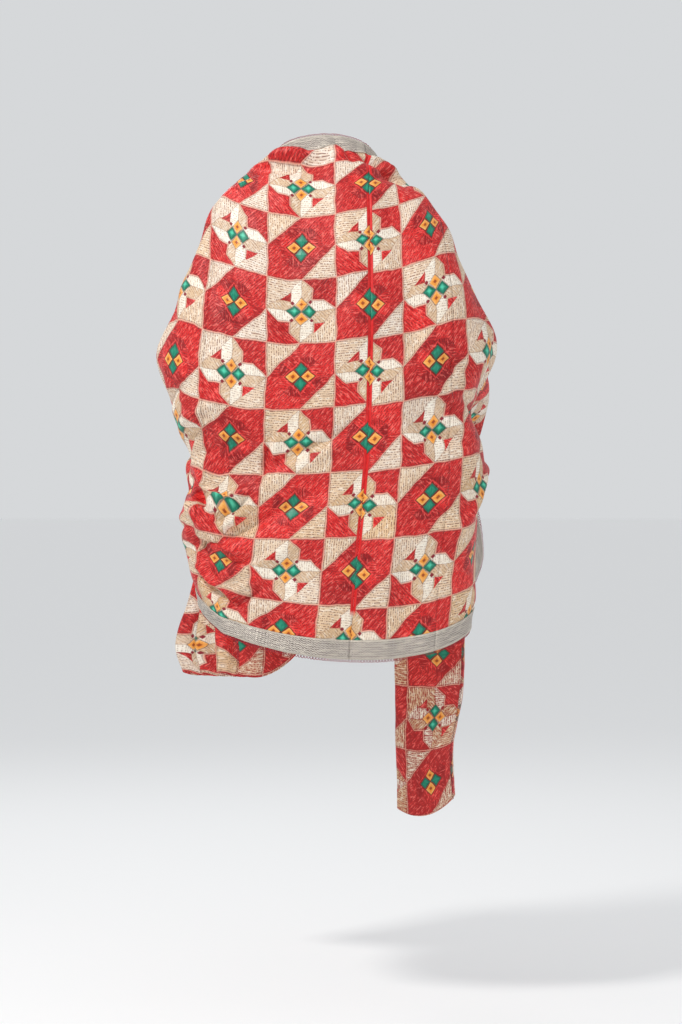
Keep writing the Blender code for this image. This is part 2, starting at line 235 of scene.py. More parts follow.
# Smaller creases, listed the same way; positive depth sinks them, negative raises them.
creases = (
    # soft ridge and trough below the neck ribbon, with a tuck right of the middle
    (-0.06, 0.048, 0.96, -0.2, 0.085, 0.0075, -0.0045),
    (-0.06, 0.068, 0.96, -0.2, 0.085, 0.01, 0.004),
    (0.055, 0.046, 0.95, 0.3, 0.045, 0.007, -0.004),
    (0.03, 0.04, 0.5, 0.86, 0.03, 0.006, 0.004),
    # folds over both shoulders, nearest the neck and out along the upper arms
    (0.12, 0.078, 0.78, 0.62, 0.07, 0.007, -0.006),
    (0.112, 0.094, 0.78, 0.62, 0.07, 0.008, 0.006),
    (0.185, 0.17, 0.55, 0.84, 0.08, 0.011, -0.004),
    (-0.15, 0.1, 0.8, -0.6, 0.07, 0.01, 0.0035),
    (-0.19, 0.16, 0.62, -0.78, 0.08, 0.012, -0.0035),
    (-0.205, 0.265, 0.4, -0.92, 0.09, 0.014, 0.003),
    # long soft swells down the back
    (0.035, 0.27, 0.12, 0.99, 0.2, 0.022, -0.003),
    (-0.06, 0.25, -0.1, 0.99, 0.18, 0.026, 0.003),
    (0.14, 0.36, 0.16, 0.99, 0.16, 0.018, 0.003),
    (-0.135, 0.41, 0.22, 0.97, 0.13, 0.018, -0.0028),
    (0.06, 0.64, 0.05, 1.0, 0.18, 0.022, 0.003),
    (0.125, 0.76, -0.08, 1.0, 0.14, 0.02, -0.003),
    # pulls from the left elbow and across the waist
    (-0.2, 0.59, 0.94, -0.34, 0.085, 0.01, 0.006),
    (-0.175, 0.675, 0.9, -0.44, 0.09, 0.011, -0.006),
    (-0.16, 0.735, 0.86, -0.5, 0.09, 0.011, 0.006),
    (-0.12, 0.8, 0.82, -0.57, 0.1, 0.012, -0.0045),
    (-0.025, 0.575, 0.92, -0.4, 0.07, 0.0075, 0.0035),
    (-0.01, 0.592, 0.92, -0.4, 0.06, 0.008, -0.0025),
    (-0.09, 0.7, 0.88, -0.47, 0.09, 0.013, 0.003),
    (-0.245, 0.545, 0.8, -0.6, 0.06, 0.01, -0.005),
    # the deep tuck inside the left elbow, the long pull above it and the fold below it
    (-0.229, 0.676, 0.81, 0.59, 0.055, 0.008, 0.009),
    (-0.243, 0.702, 0.81, 0.59, 0.05, 0.01, -0.006),
    (-0.214, 0.655, 0.81, 0.59, 0.05, 0.008, -0.004),
    (-0.103, 0.59, -0.15, 0.99, 0.048, 0.006, 0.0045),
    (-0.091, 0.592, -0.15, 0.99, 0.048, 0.006, -0.0035),
    (-0.15, 0.68, -0.68, 0.73, 0.05, 0.0065, 0.0055),
    (-0.138, 0.693, -0.68, 0.73, 0.05, 0.0065, -0.004),
    (-0.185, 0.855, 0.94, 0.34, 0.05, 0.007, 0.0065),
    (-0.185, 0.838, 0.94, 0.34, 0.05, 0.007, -0.0045),
    (-0.112, 0.848, 0.69, -0.72, 0.04, 0.007, 0.005),
    (-0.122, 0.836, 0.69, -0.72, 0.04, 0.007, -0.0035),
    (-0.215, 0.78, 0.55, 0.83, 0.04, 0.008, 0.0045),
    # pulls from the right elbow
    (0.215, 0.47, 0.86, 0.5, 0.06, 0.01, 0.0045),
    (0.205, 0.52, 0.9, 0.42, 0.07, 0.01, -0.004),
    (0.215, 0.59, 0.93, 0.36, 0.07, 0.011, 0.005),
    (0.2, 0.66, 0.5, 0.86, 0.1, 0.014, -0.0035),
    (0.16, 0.86, 0.1, 1.0, 0.08, 0.016, 0.0035),
    # soft swells above the hem
    (0.02, 0.9, 0.06, 1.0, 0.07, 0.02, -0.0035),
    (-0.07, 0.905, 0.1, 1.0, 0.06, 0.018, 0.003),
    (-0.15, 0.915, 0.18, 0.98, 0.06, 0.016, -0.0035),
    # the arms and the hidden front, in the same manner
    (0.29, 0.3, 0.3, 0.95, 0.11, 0.014, 0.005),
    (0.33, 0.42, 0.4, 0.91, 0.09, 0.012, -0.005),
    (0.3, 0.56, 0.85, 0.52, 0.06, 0.011, 0.005),
    (0.31, 0.7, 0.8, -0.6, 0.07, 0.012, -0.0045),
    (-0.29, 0.29, 0.3, -0.95, 0.11, 0.014, 0.005),
    (-0.33, 0.4, 0.4, -0.91, 0.09, 0.012, -0.005),
    (-0.3, 0.52, 0.85, -0.52, 0.06, 0.011, 0.0055),
    (-0.31, 0.64, 0.9, -0.44, 0.06, 0.011, -0.0055),
    (-0.305, 0.76, 0.85, -0.52, 0.07, 0.012, 0.005),
)


# Soft channels in the closed pleats of the falls, the same way.
fallCreases = (
    (-1.04, 0.868, 1.0, 0.04, 0.13, 0.007, -0.0075),
    (-1.04, 0.897, 1.0, 0.02, 0.12, 0.011, 0.0085),
    (-1.02, 0.84, 1.0, 0.05, 0.11, 0.01, 0.007),
    (-1.06, 0.69, 1.0, 0.03, 0.09, 0.008, 0.0035),
    (-1.06, 0.412, 1.0, 0.02, 0.09, 0.009, 0.0035),
    (1.08, 0.9, 1.0, 0.06, 0.12, 0.011, -0.003),
    (1.24, 0.85, 1.0, -0.08, 0.11, 0.01, 0.003),
    (1.15, 0.872, 0.9, 0.4, 0.06, 0.008, -0.0026),
    (1.31, 0.905, 0.8, -0.6, 0.05, 0.009, 0.0028),
)
# Rolls that turn the cloth over: along, down, half along, half down, and the way they move it.
rolls = (
    (-0.082, 0.048, 0.04, 0.015, 0.0, -0.012, 0.018),
    (-0.052, 0.074, 0.05, 0.016, 0.0, 0.004, -0.007),
    (0.018, 0.046, 0.022, 0.012, 0.003, -0.008, 0.009),
    (0.112, 0.084, 0.036, 0.014, 0.0, -0.008, 0.005),
    (0.1, 0.106, 0.045, 0.014, 0.0, 0.006, -0.006),
    (0.43, 0.925, 0.08, 0.04, -0.014, 0.004, 0.0),
    (-0.225, 0.575, 0.04, 0.018, 0.004, 0.01, 0.004),
    (-0.205, 0.632, 0.05, 0.018, 0.0, -0.012, -0.008),
    (-0.19, 0.672, 0.06, 0.013, 0.0, 0.012, 0.004),
    (-0.17, 0.752, 0.06, 0.014, 0.0, -0.009, -0.006),
    (-0.15, 0.786, 0.06, 0.012, 0.0, 0.009, 0.003),
)


def readRow(table, column, at):
    rows = np.array(table)
    knots = rows[:, 0]
    values = rows[:, column]
    slopes = np.gradient(values, knots)
    at = np.clip(at, knots[0], knots[-1])
    i = np.clip(np.searchsorted(knots, at, side="right") - 1, 0, len(knots) - 2)
    span = knots[i + 1] - knots[i]
    t = (at - knots[i]) / span
    start = (2 * t**3 - 3 * t**2 + 1) * values[i] + (t**3 - 2 * t**2 + t) * span * slopes[i]
    end = (3 * t**2 - 2 * t**3) * values[i + 1] + (t**3 - t**2) * span * slopes[i + 1]
    return start + end


def ease(at, begin, end):
    t = np.clip((at - begin) / (end - begin), 0.0, 1.0)
    return t * t * (3 - 2 * t)


def unit(vectors):
    return vectors / np.maximum(np.linalg.norm(vectors, axis=-1, keepdims=True), 1e-12)


def pleatTurns():
    return [math.pi * half for half in pleats["halfGaps"]]


def pleatFlat():
    return (cloth["width"] - sum(pleatTurns())) / pleats["count"]


def pleatStarts():
    down, through = [0.0], [0.0]
    for turn, half in zip(pleatTurns(), pleats["halfGaps"]):
        down.append(down[-1] + pleatFlat() + turn)
        through.append(through[-1] + 2 * half)
    return np.array(down), np.array(through)


def pleatSection(down):
    starts, through = pleatStarts()
    flat = pleatFlat()
    halfGaps = np.array(pleats["halfGaps"] + (0.0,))
    turns = np.array(pleatTurns() + [pleats["lastTurn"]])
    k = np.clip(np.searchsorted(starts, down, side="right") - 1, 0, pleats["count"] - 1)
    t = down - starts[k]
    way = np.where(k % 2 == 0, 1.0, -1.0)
    angle = math.pi * np.clip((t - flat) / turns[k], 0.0, 1.0)
    onFace = np.where(k < pleats["count"] - 1, np.minimum(t, flat), t)
    across = way * (onFace - flat / 2 + halfGaps[k] * np.sin(angle))
    stacked = through[k] + halfGaps[k] * (1 - np.cos(angle))
    return across, stacked - through[-1] / 2


def bezier(a, b, c, d, t):
    return (1 - t) ** 3 * a + 3 * (1 - t) ** 2 * t * b + 3 * (1 - t) * t**2 * c + t**3 * d


def handPlace(side):
    return np.array(hold["right" if side > 0 else "left"])


def ringPaths(side, down):
    outline = rightSide if side > 0 else leftSide
    spine = np.stack([side * readRow(spineTable, 1, down), readRow(spineTable, 2, down),
                      readRow(spineTable, 3, down)], axis=-1)
    tilt = side * readRow(spineTable, 4, down)
    leaving = unit(np.stack([np.ones_like(tilt), np.zeros_like(tilt), tilt], axis=-1))
    passed = np.stack([readRow(outline, c, down) for c in (1, 2, 3)], axis=-1)
    passing = unit(np.stack([readRow(passingTable, c, down) for c in (1, 2, 3)], axis=-1))
    held = handPlace(side) + np.array([0.0, 0.0, -1.0]) * pleatSection(down)[1][:, None]
    arriving = unit(np.array(hold["into"]))
    first = np.linalg.norm(passed - spine, axis=-1, keepdims=True)
    second = np.linalg.norm(held - passed, axis=-1, keepdims=True)
    t = np.linspace(0.0, 1.0, hold["ringSteps"])[:, None, None]
    back = bezier(spine, spine + leaving * first * hold["spineHandle"],
                  passed - passing * first * hold["beforeHandle"], passed, t)
    front = bezier(passed, passed + passing * second * hold["pastHandle"],
                   held - arriving * second * hold["handHandle"], held, t)
    return np.concatenate([back, front[1:]])


def spreadCloth(side, along, down):
    path = ringPaths(side, down)
    steps = np.linalg.norm(np.diff(path, axis=0), axis=-1)
    length = np.concatenate([np.zeros((1, len(down))), np.cumsum(steps, axis=0)])
    points = np.zeros((len(along), len(down), 3))
    near = hold["trueLengthTo"]
    for j in range(len(down)):
        rest = (length[-1, j] - near) / (hold["handAt"] - near)
        at = np.where(along < near, along, near + (along - near) * rest)
        for axis in range(3):
            points[:, j, axis] = np.interp(at, length[:, j], path[:, j, axis])
    return points


def pleatDepth(side, along):
    fine = np.linspace(0.0, cloth["width"], 121)
    base = spreadCloth(side, along, fine)
    width = np.linalg.norm(np.diff(base, axis=1), axis=-1).sum(axis=1)
    takenUp = np.sqrt(1 - np.minimum(width / cloth["width"], 1.0) ** 2)
    return takenUp * ease(along, hold["pleatsBegin"], hold["pleatsBegin"] + 0.14)


def gathering(side, along, down):
    base = spreadCloth(side, along, down)
    across = pleatSection(down)[0]
    half = pleatFlat() / 2
    starts = pleatStarts()[0]
    phase = np.interp(down, list(starts) + [cloth["width"]], list(range(pleats["count"] + 1)))
    wave = -np.cos(math.pi * phase)[None, :] * np.ones((len(along), 1))
    closed = ease(along, hold["pleatsBegin"] + 0.05, hold["handAt"] - 0.03)[:, None]
    shape = wave * (1 - closed) + across / half * closed
    arriving = unit(np.array(hold["into"]))
    atHand = np.array([arriving[1], -arriving[0], 0.0])
    turned = ease(along, hold["pleatsBegin"] + 0.1, hold["handAt"])[:, None]
    outward = unit(unit(np.array(hold["outward"])) * (1 - turned) + atHand * turned)
    lift = half * pleatDepth(side, along)[:, None] * shape
    return base + lift[:, :, None] * outward[:, None, :]


def falling(side, along, down):
    table = rightFallTable if side > 0 else leftFallTable
    across, stacked = (np.tile(section, (len(along), 1)) for section in pleatSection(down))
    past = along - hold["handAt"]
    radius = hold["bendRadius"]
    bent = np.minimum(past / radius, math.pi / 2)
    drop = np.maximum(past - radius * math.pi / 2, 0.0)
    arriving = unit(np.array(hold["into"]))
    up = np.array([0.0, 0.0, 1.0])
    turn = readRow(table, 3, drop)
    flat = np.zeros_like(turn)
    heading = np.stack([arriving[0] * np.cos(turn) + arriving[1] * np.sin(turn),
                        arriving[1] * np.cos(turn) - arriving[0] * np.sin(turn), flat], axis=-1)
    facing = np.stack([heading[:, 1], -heading[:, 0], flat], axis=-1)
    centre = handPlace(side) + radius * np.sin(bent)[:, None] * arriving
    centre = centre - (radius * (1 - np.cos(bent)) + drop)[:, None] * up
    centre[:, 0] += readRow(table, 1, drop)
    through = -up * np.cos(bent)[:, None] - heading * np.sin(bent)[:, None]
    half = pleatFlat() / 2
    depth = pleatStarts()[1][-1]
    share = across / half
    drawn = across * (1 - readRow(table, 6, drop)[:, None])
    leaned = drawn - readRow(table, 2, drop)[:, None] * (stacked / depth)
    curled = stacked + readRow(table, 7, drop)[:, None] * share**2
    points = centre[:, None, :] + leaned[:, :, None] * facing[:, None, :]
    points += curled[:, :, None] * through[:, None, :]
    points[:, :, 2] += readRow(table, 4, drop)[:, None] * share**2 + readRow(table, 5, drop)[:, None] * share
    return points


def weightOf(fold, a, d):
    run = unit(np.array(fold[2:4]))
    lengthwise = (a - fold[0]) * run[0] + (d - fold[1]) * run[1]
    crosswise = (d - fold[1]) * run[0] - (a - fold[0]) * run[1]
    return np.exp(-((lengthwise / fold[4]) ** 2) - (crosswise / fold[5]) ** 2)


wrinkles = {"seed": 41, "count": 46, "lengths": (0.030, 0.150), "height": 0.0036}


def restlessness(a, d):
    # Small uneven wrinkles, the same every time
    chance = np.random.default_rng(wrinkles["seed"])
    total = np.zeros(np.broadcast(a, d).shape)
    for _ in range(wrinkles["count"]):
        length = chance.uniform(*wrinkles["lengths"])
        turn = chance.uniform(0, math.pi)
        phase = chance.uniform(0, 2 * math.pi)
        total += length * np.sin(2 * math.pi / length * (a * math.cos(turn) + d * math.sin(turn)) + phase)
    return total * wrinkles["height"]


def gridNormals(points):
    down = np.gradient(points, axis=1)
    along = np.gradient(points, axis=0)
    return unit(np.cross(down, along))


def drape(along, down):
    points = np.zeros((len(along), len(down), 3))
    for side in (1, -1):
        here = (along >= 0) if side > 0 else (along < 0)
        distance = np.abs(along)
        for part, chosen in ((gathering, here & (distance < hold["handAt"])),
                             (falling, here & (distance >= hold["handAt"]))):
            if chosen.any():
                made = part(side, distance[chosen], down)
                made[:, :, 0] *= side
                points[chosen] = made
    a = along[:, None]
    d = down[None, :]
    for fold in folds:
        points[:, :, 1] += fold[6] * weightOf(fold, a, d)
    for roll in rolls:
        weight = np.exp(-(((a - roll[0]) / roll[2]) ** 2) - ((d - roll[1]) / roll[3]) ** 2)
        points += weight[:, :, None] * np.array(roll[4:7])
    lift = np.zeros((len(along), len(down)))
    for fold in creases:
        lift -= cloth["creaseDepth"] * fold[6] * weightOf(fold, a, d)
    spread = 1 - ease(np.abs(a), *cloth["creasesFade"])
    fall = ease(np.abs(a), *cloth["fallsBegin"])
    calm, width = cloth["edgeCalm"], cloth["edgeWidth"]
    edge = calm + (1 - calm) * ease(d, 0.0, width) * ease(cloth["width"] - d, 0.0, width)
    hung = sum(fold[6] * weightOf(fold, a, d) for fold in fallCreases)
    restless = restlessness(a, d) * (spread * edge + cloth["fallRestless"] * fall)
    lift = lift * spread + restless - hung * fall
    return points + gridNormals(points) * lift[:, :, None]


def clothRows():
    starts = pleatStarts()[0]
    rows = []
    for k, start in enumerate(starts):
        flatEnd = start + pleatFlat()
        rows += list(np.linspace(start, flatEnd, cloth["flatFacets"] + 1))
        if k < pleats["count"] - 1:
            rows += list(np.linspace(flatEnd, flatEnd + pleatTurns()[k], cloth["turnFacets"] + 1)[1:-1])
    edge = [ribbon["width"], cloth["width"] - ribbon["width"]]
    rows = [r for r in rows if min(abs(r - e) for e in edge) > 0.0015] + edge
    return np.unique(np.round(np.array(rows), 7))


def clothColumns():
    columns = []
    for _, _, begin, end, _, _ in stretches:
        count = max(2, int(round((end - begin) / cloth["step"])))
        columns += list(np.linspace(begin, end, count + 1)[:-1])
    return np.round(np.array(columns + [cloth["rightEnd"]]), 6)


ribbon = {"width": 0.032, "wall": 0.001, "gap": 0.0006}
picot = {"pitch": 0.0052, "reach": 0.0048, "thickness": 0.0012, "gap": 0.0002, "unevenness": 0.14, "seed": 7,
         "arcFrom": -62, "arcTurn": 304, "arcPoints": 9, "sides": 5, "radiusShare": 0.45, "twist": 420.0,
         "relief": 0.0004}


def shell(name, points, normals, wall, flatAlong, flatDown, materials):
    # A closed thin wall round a grid of points, carrying its place on the flat cloth as its UV map
    nA, nD = points.shape[:2]
    outer = (points + normals * wall / 2).reshape(-1, 3)
    inner = (points - normals * wall / 2).reshape(-1, 3)
    index = np.arange(nA * nD).reshape(nA, nD)
    a, b, c, d = index[:-1, :-1], index[:-1, 1:], index[1:, 1:], index[1:, :-1]
    outFaces = np.stack([a, b, c, d], axis=-1).reshape(-1, 4)
    inFaces = np.stack([a, d, c, b], axis=-1).reshape(-1, 4) + nA * nD
    loop = np.concatenate([index[0, :], index[1:, -1], index[-1, :-1][::-1], index[1:-1, 0][::-1]])
    follow = np.roll(loop, -1)
    rim = np.stack([loop, loop + nA * nD, follow + nA * nD, follow], axis=-1)
    faces = np.concatenate([outFaces, inFaces, rim])
    mesh = bpy.data.meshes.new(name)
    verts = np.concatenate([outer, inner])
    mesh.vertices.add(len(verts))
    mesh.vertices.foreach_set("co", verts.astype(np.float32).ravel())
    mesh.loops.add(faces.size)
    mesh.loops.foreach_set("vertex_index", faces.astype(np.int32).ravel())
    mesh.polygons.add(len(faces))
    mesh.polygons.foreach_set("loop_start", np.arange(0, faces.size, 4, dtype=np.int32))
    mesh.polygons.foreach_set("use_smooth", np.ones(len(faces), dtype=bool))
    chosen = np.zeros(len(faces), dtype=np.int32)
    if len(materials) > 1:
        chosen[len(outFaces):len(outFaces) + len(inFaces)] = 1
    mesh.polygons.foreach_set("material_index", chosen)
    mesh.update(calc_edges=True)
    flat = np.stack(np.broadcast_arrays(flatAlong[:, None], flatDown[None, :]), axis=-1).reshape(-1, 2)
    flat = np.concatenate([flat, flat])
    uv = mesh.uv_layers.new(name="flatCloth")
    uv.data.foreach_set("uv", flat[faces.ravel()].astype(np.float32).ravel())
    for material in materials:
        mesh.materials.append(material)
    piece = bpy.data.objects.new(name, mesh)
    scene.collection.objects.link(piece)
    mesh.validate()
    return piece


# Shader helpers.
class Net:
    def __init__(self, tree):
        self.tree = tree

    def node(self, kind, **settings):
        made = self.tree.nodes.new(kind)
        for key, value in settings.items():
            setattr(made, key, value)
        return made

    def feed(self, socket, value):
        if isinstance(value, bpy.types.NodeSocket):
            self.tree.links.new(value, socket)
        elif hasattr(value, "__len__") and len(value) == 3 and socket.type == "RGBA":
            socket.default_value = (*value, 1.0)
        else:
            socket.default_value = value

    def do(self, operation, *values, clamp=False):
        made = self.node("ShaderNodeMath", operation=operation, use_clamp=clamp)
        for socket, value in zip(made.inputs, values):
            self.feed(socket, value)
        return made.outputs[0]

    def add(self, a, b):
        return self.do("ADD", a, b)

    def sub(self, a, b):
        return self.do("SUBTRACT", a, b)

    def mul(self, a, b):
        return self.do("MULTIPLY", a, b)

    def fit(self, a, factor, offset):
        return self.do("MULTIPLY_ADD", a, factor, offset)

    def ramp(self, a, factor, offset):
        return self.do("MULTIPLY_ADD", a, factor, offset, clamp=True)

    def size(self, a):
        return self.do("ABSOLUTE", a)

    def either(self, a, b):
        return self.do("MAXIMUM", a, b)

    def least(self, a, b):
        return self.do("MINIMUM", a, b)

    def flip(self, a):
        return self.do("SUBTRACT", 1.0, a)

    def below(self, value, limit, soft=0.012):
        return self.ramp(self.sub(limit, value), 1.0 / soft, 0.5)

    def above(self, value, limit, soft=0.012):
        return self.ramp(self.sub(value, limit), 1.0 / soft, 0.5)

    def mix(self, factor, a, b):
        made = self.node("ShaderNodeMix", data_type="RGBA")
        self.feed(made.inputs[0], factor)
        self.feed(made.inputs[6], a)
        self.feed(made.inputs[7], b)
        return made.outputs[2]

    def blend(self, factor, a, b):
        made = self.node("ShaderNodeMix", data_type="FLOAT")
        self.feed(made.inputs[0], factor)
        self.feed(made.inputs[2], a)
        self.feed(made.inputs[3], b)
        return made.outputs[0]

    def join(self, x, y, z=0.0):
        made = self.node("ShaderNodeCombineXYZ")
        for socket, value in zip(made.inputs, (x, y, z)):
            self.feed(socket, value)
        return made.outputs[0]

    def noise(self, vector, detail):
        made = self.node("ShaderNodeTexNoise")
        made.inputs["Scale"].default_value = 1.0
        made.inputs["Detail"].default_value = detail
        made.inputs["Roughness"].default_value = 0.5
        self.feed(made.inputs["Vector"], vector)
        return made.outputs[0]

    def speckle(self, u, v, fineU, fineV, seed, detail):
        return self.noise(self.join(self.mul(u, fineU), self.mul(v, fineV), seed), detail)

    def chance(self, vector):
        made = self.node("ShaderNodeTexWhiteNoise", noise_dimensions="3D")
        self.feed(made.inputs["Vector"], vector)
        return made.outputs["Value"]


def tint(r, g, b):
    return tuple(((c / 255 + 0.055) / 1.055) ** 2.4 if c > 10 else c / 255 / 12.92 for c in (r, g, b))


# The phulkari figure: square cells, cream stars and red flowers in turn, each round four gems.
figure = {
    "cell": (0.119, 0.112),
    "start": (0.010, 0.062),
    "rightShift": 0.079,
    "leftShift": -0.045,
    "downShift": 0.020,
    "leftDownShift": 0.070,
    "joinAt": 0.070,
    "joinHalf": 0.0048,
    "joinTo": 0.86,
    "joinStep": 0.006,
    "rows": 0.0040,
    "starHalf": 0.165,
    "flowerReach": 0.30,
    "flowerSpan": 0.44,
    "greenAt": (0.108, 0.104, 0.094),
    "orangeAt": (0.112, 0.100, 0.086),
    # Some of these are lit and shaded copies of one floss for painted sheen: redLight and redDark with red
    # and redPetal, white and tan, greenLight and greenDark; the palest red is a painted highlight
    "red": tint(208, 8, 14),
    "redLight": tint(255, 74, 68),
    "redDark": tint(134, 2, 8),
    "redPetal": tint(190, 10, 18),
    "groundRed": tint(92, 4, 8),
    "paintedRedHighlight": tint(255, 132, 120),
    "creamCool": tint(243, 229, 216),
    "creamWarm": tint(232, 194, 148),
    "white": tint(253, 247, 234),
    "tan": tint(204, 166, 122),
    "line": tint(236, 168, 146),
    "shade": tint(120, 22, 26),
    "stitch": tint(128, 72, 56),
    "green": tint(4, 122, 94),
    "greenLight": tint(84, 208, 172),
    "greenDark": tint(2, 70, 54),
    "orange": tint(240, 142, 28),
    "peach": tint(252, 206, 130),
    "dot": tint(140, 40, 10),
    "maroon": tint(140, 34, 46),
    "gemRim": tint(92, 24, 12),
    "back": tint(166, 34, 32),
}


def turnedPlace(n, u, v, degrees):
    c, s = math.cos(math.radians(degrees)), math.sin(math.radians(degrees))
    return n.add(n.mul(u, c), n.mul(v, s)), n.sub(n.mul(v, c), n.mul(u, s))


def threads(n, u, v, degrees):
    # Satin threads laid one way over the cloth, as uneven streaks between 0 and 1
    lengthwise, crosswise = turnedPlace(n, u, v, degrees)
    fine = n.speckle(lengthwise, crosswise, 170.0, 620.0, degrees, 1.0)
    broad = n.speckle(lengthwise, crosswise, 85.0, 240.0, degrees + 3.0, 0.0)
    return n.ramp(n.add(n.mul(fine, 0.55), n.mul(broad, 0.45)), 3.6, -1.3)


def stitchEnds(n, u, v, degrees):
    # Rows where satin stitches end and the ground shows, uneven in length, between 0 and 1
    lengthwise, crosswise = turnedPlace(n, u, v, degrees)
    row = n.mul(crosswise, 1 / figure["rows"])
    bend = n.speckle(lengthwise, crosswise, 70.0, 70.0, degrees + 7.0, 0.0)
    row = n.add(row, n.fit(bend, 0.8, -0.4))
    number = n.do("FLOOR", row)
    thin = n.below(n.size(n.sub(n.do("FRACT", row), 0.5)), 0.17, 0.20)
    broken = n.speckle(lengthwise, number, 430.0, 3.7, degrees, 0.0)
    return n.mul(thin, n.ramp(broken, 5.0, -2.0))


def gemPlace(n, sizes, outward, aside):
    # 0 at a gem's middle and 1 at its edge
    offset, half, halfAside = sizes
    return n.add(n.mul(n.size(n.sub(outward, offset)), 1 / half), n.mul(aside, 1 / halfAside))


def makeFigureGroup():
    f = figure
    tree = bpy.data.node_groups.new("phulkariFigure", "ShaderNodeTree")
    tree.interface.new_socket("Flat", in_out="INPUT", socket_type="NodeSocketVector")
    for label, kind in (("Color", "Color"), ("Height", "Float"), ("Gloss", "Float"), ("Gems", "Float")):
        tree.interface.new_socket(label, in_out="OUTPUT", socket_type="NodeSocket" + kind)
    n = Net(tree)
    given, result = n.node("NodeGroupInput"), n.node("NodeGroupOutput")
    parts = n.node("ShaderNodeSeparateXYZ")
    n.feed(parts.inputs[0], given.outputs[0])
    u0, v0 = parts.outputs[0], parts.outputs[1]
    wander = n.speckle(u0, v0, 22.0, 22.0, 2.0, 2.0)
    wanderV = n.speckle(u0, v0, 22.0, 22.0, 9.0, 2.0)
    u = n.add(u0, n.fit(wander, 0.010, -0.005))
    v = n.add(v0, n.fit(wanderV, 0.010, -0.005))
    past = n.do("SMOOTH_MIN", n.ramp(n.size(u0), 1 / 0.45, -1.0), 1.0, 0.05)
    onRight = n.do("GREATER_THAN", u0, 0.0)
    beyondJoin = n.do("GREATER_THAN", u0, f["joinAt"])
    shiftU = n.mul(past, n.blend(onRight, f["leftShift"], f["rightShift"]))
    cellU = n.mul(n.add(n.sub(u, f["start"][0]), shiftU), 1 / f["cell"][0])
    shiftV = n.mul(past, n.blend(onRight, f["leftDownShift"], f["downShift"]))
    shiftV = n.sub(shiftV, n.mul(beyondJoin, f["joinStep"]))
    cellV = n.mul(n.add(n.sub(v, f["start"][1]), shiftV), 1 / f["cell"][1])
    iU, iV = n.do("FLOOR", cellU), n.do("FLOOR", cellV)
    x, y = n.do("FRACT", cellU), n.do("FRACT", cellV)
    midX, midY = n.sub(x, 0.5), n.sub(y, 0.5)
    awayX, awayY = n.size(midX), n.size(midY)
    span, closest, farthest = n.add(awayX, awayY), n.least(awayX, awayY), n.either(awayX, awayY)
    cream = n.do("FLOORED_MODULO", n.add(iU, iV), 2.0)
    a, b = n.blend(cream, awayY, awayX), n.blend(cream, awayX, awayY)
    own = n.chance(n.join(iU, iV, 0.37))
    other = n.chance(n.join(iU, iV, 5.61))
    patch = n.speckle(u0, v0, 9.0, 9.0, 4.0, 2.0)

    along, alongEnds = threads(n, u0, v0, 4.0), stitchEnds(n, u0, v0, 4.0)
    upright, uprightEnds = threads(n, u0, v0, 88.0), stitchEnds(n, u0, v0, 88.0)
    rising, risingEnds = threads(n, u0, v0, -46.0), stitchEnds(n, u0, v0, -46.0)
    sinking, sinkingEnds = threads(n, u0, v0, 43.0), stitchEnds(n, u0, v0, 43.0)

    # Cream cell
    product = n.mul(midX, midY)
    plainQuarter = n.above(product, 0.0, 0.002)
    sideways = n.sub(awayY, awayX)
    star = n.mul(n.below(closest, f["starHalf"]), n.below(span, 0.5))
    # Every other star arm, turning like a pinwheel; these arms are painted lit by satin sheen and the others
    # painted shaded
    sheenLitArm = n.do("GREATER_THAN", n.mul(sideways, product), 0.0)
    firstCorner = n.mul(n.mul(n.below(x, 0.345), n.below(y, 0.350)),
                         n.below(n.sub(n.sub(0.695, x), y), 0.165))
    lastCorner = n.mul(n.mul(n.above(x, 0.68), n.above(y, 0.675)), n.below(n.add(x, y), 1.52))
    corners = n.either(firstCorner, lastCorner)
    creamInk = n.flip(n.either(star, corners))
    creamRed = n.either(n.mul(creamInk, n.flip(plainQuarter)), corners)

    # Red cell
    diagonal = n.size(n.sub(n.add(x, y), 1.0))
    redCreams = n.above(diagonal, 0.5)
    petals = n.ramp(n.sub(awayX, awayY), 9.0, 0.5)
    leaning = n.ramp(product, 90.0, 0.5)
    near = n.below(farthest, f["flowerReach"], 0.03)
    inner = n.mul(near, n.below(span, f["flowerSpan"], 0.03))
    isRed = n.blend(cream, n.flip(redCreams), creamRed)

    # Thread directions
    armUp = n.do("GREATER_THAN", awayY, awayX)
    leftHalf = n.do("LESS_THAN", midX, 0.0)
    below = n.do("GREATER_THAN", midY, 0.0)
    turned = n.do("GREATER_THAN", own, 0.55)

    def laid(kinds):
        lengthways, upwards, upwardRight, downwardRight = kinds
        quarter = n.blend(leftHalf, n.blend(turned, lengthways, upwards),
                          n.blend(turned, upwards, lengthways))
        arm = n.blend(sheenLitArm, n.blend(armUp, downwardRight, upwardRight),
                      n.blend(armUp, upwards, lengthways))
        corner = n.blend(below, upwardRight, downwardRight)
        flower = n.blend(petals, n.blend(leaning, upwards, downwardRight),
                         n.blend(leaning, lengthways, upwardRight))
        field = n.blend(inner, n.blend(leaning, upwardRight, lengthways), flower)
        plainCream = n.blend(cream, n.blend(leftHalf, lengthways, upwards), n.blend(star, quarter, arm))
        return n.blend(isRed, plainCream, n.blend(cream, field, corner))

    thread = laid((along, upright, rising, sinking))
    ends = laid((alongEnds, uprightEnds, risingEnds, sinkingEnds))
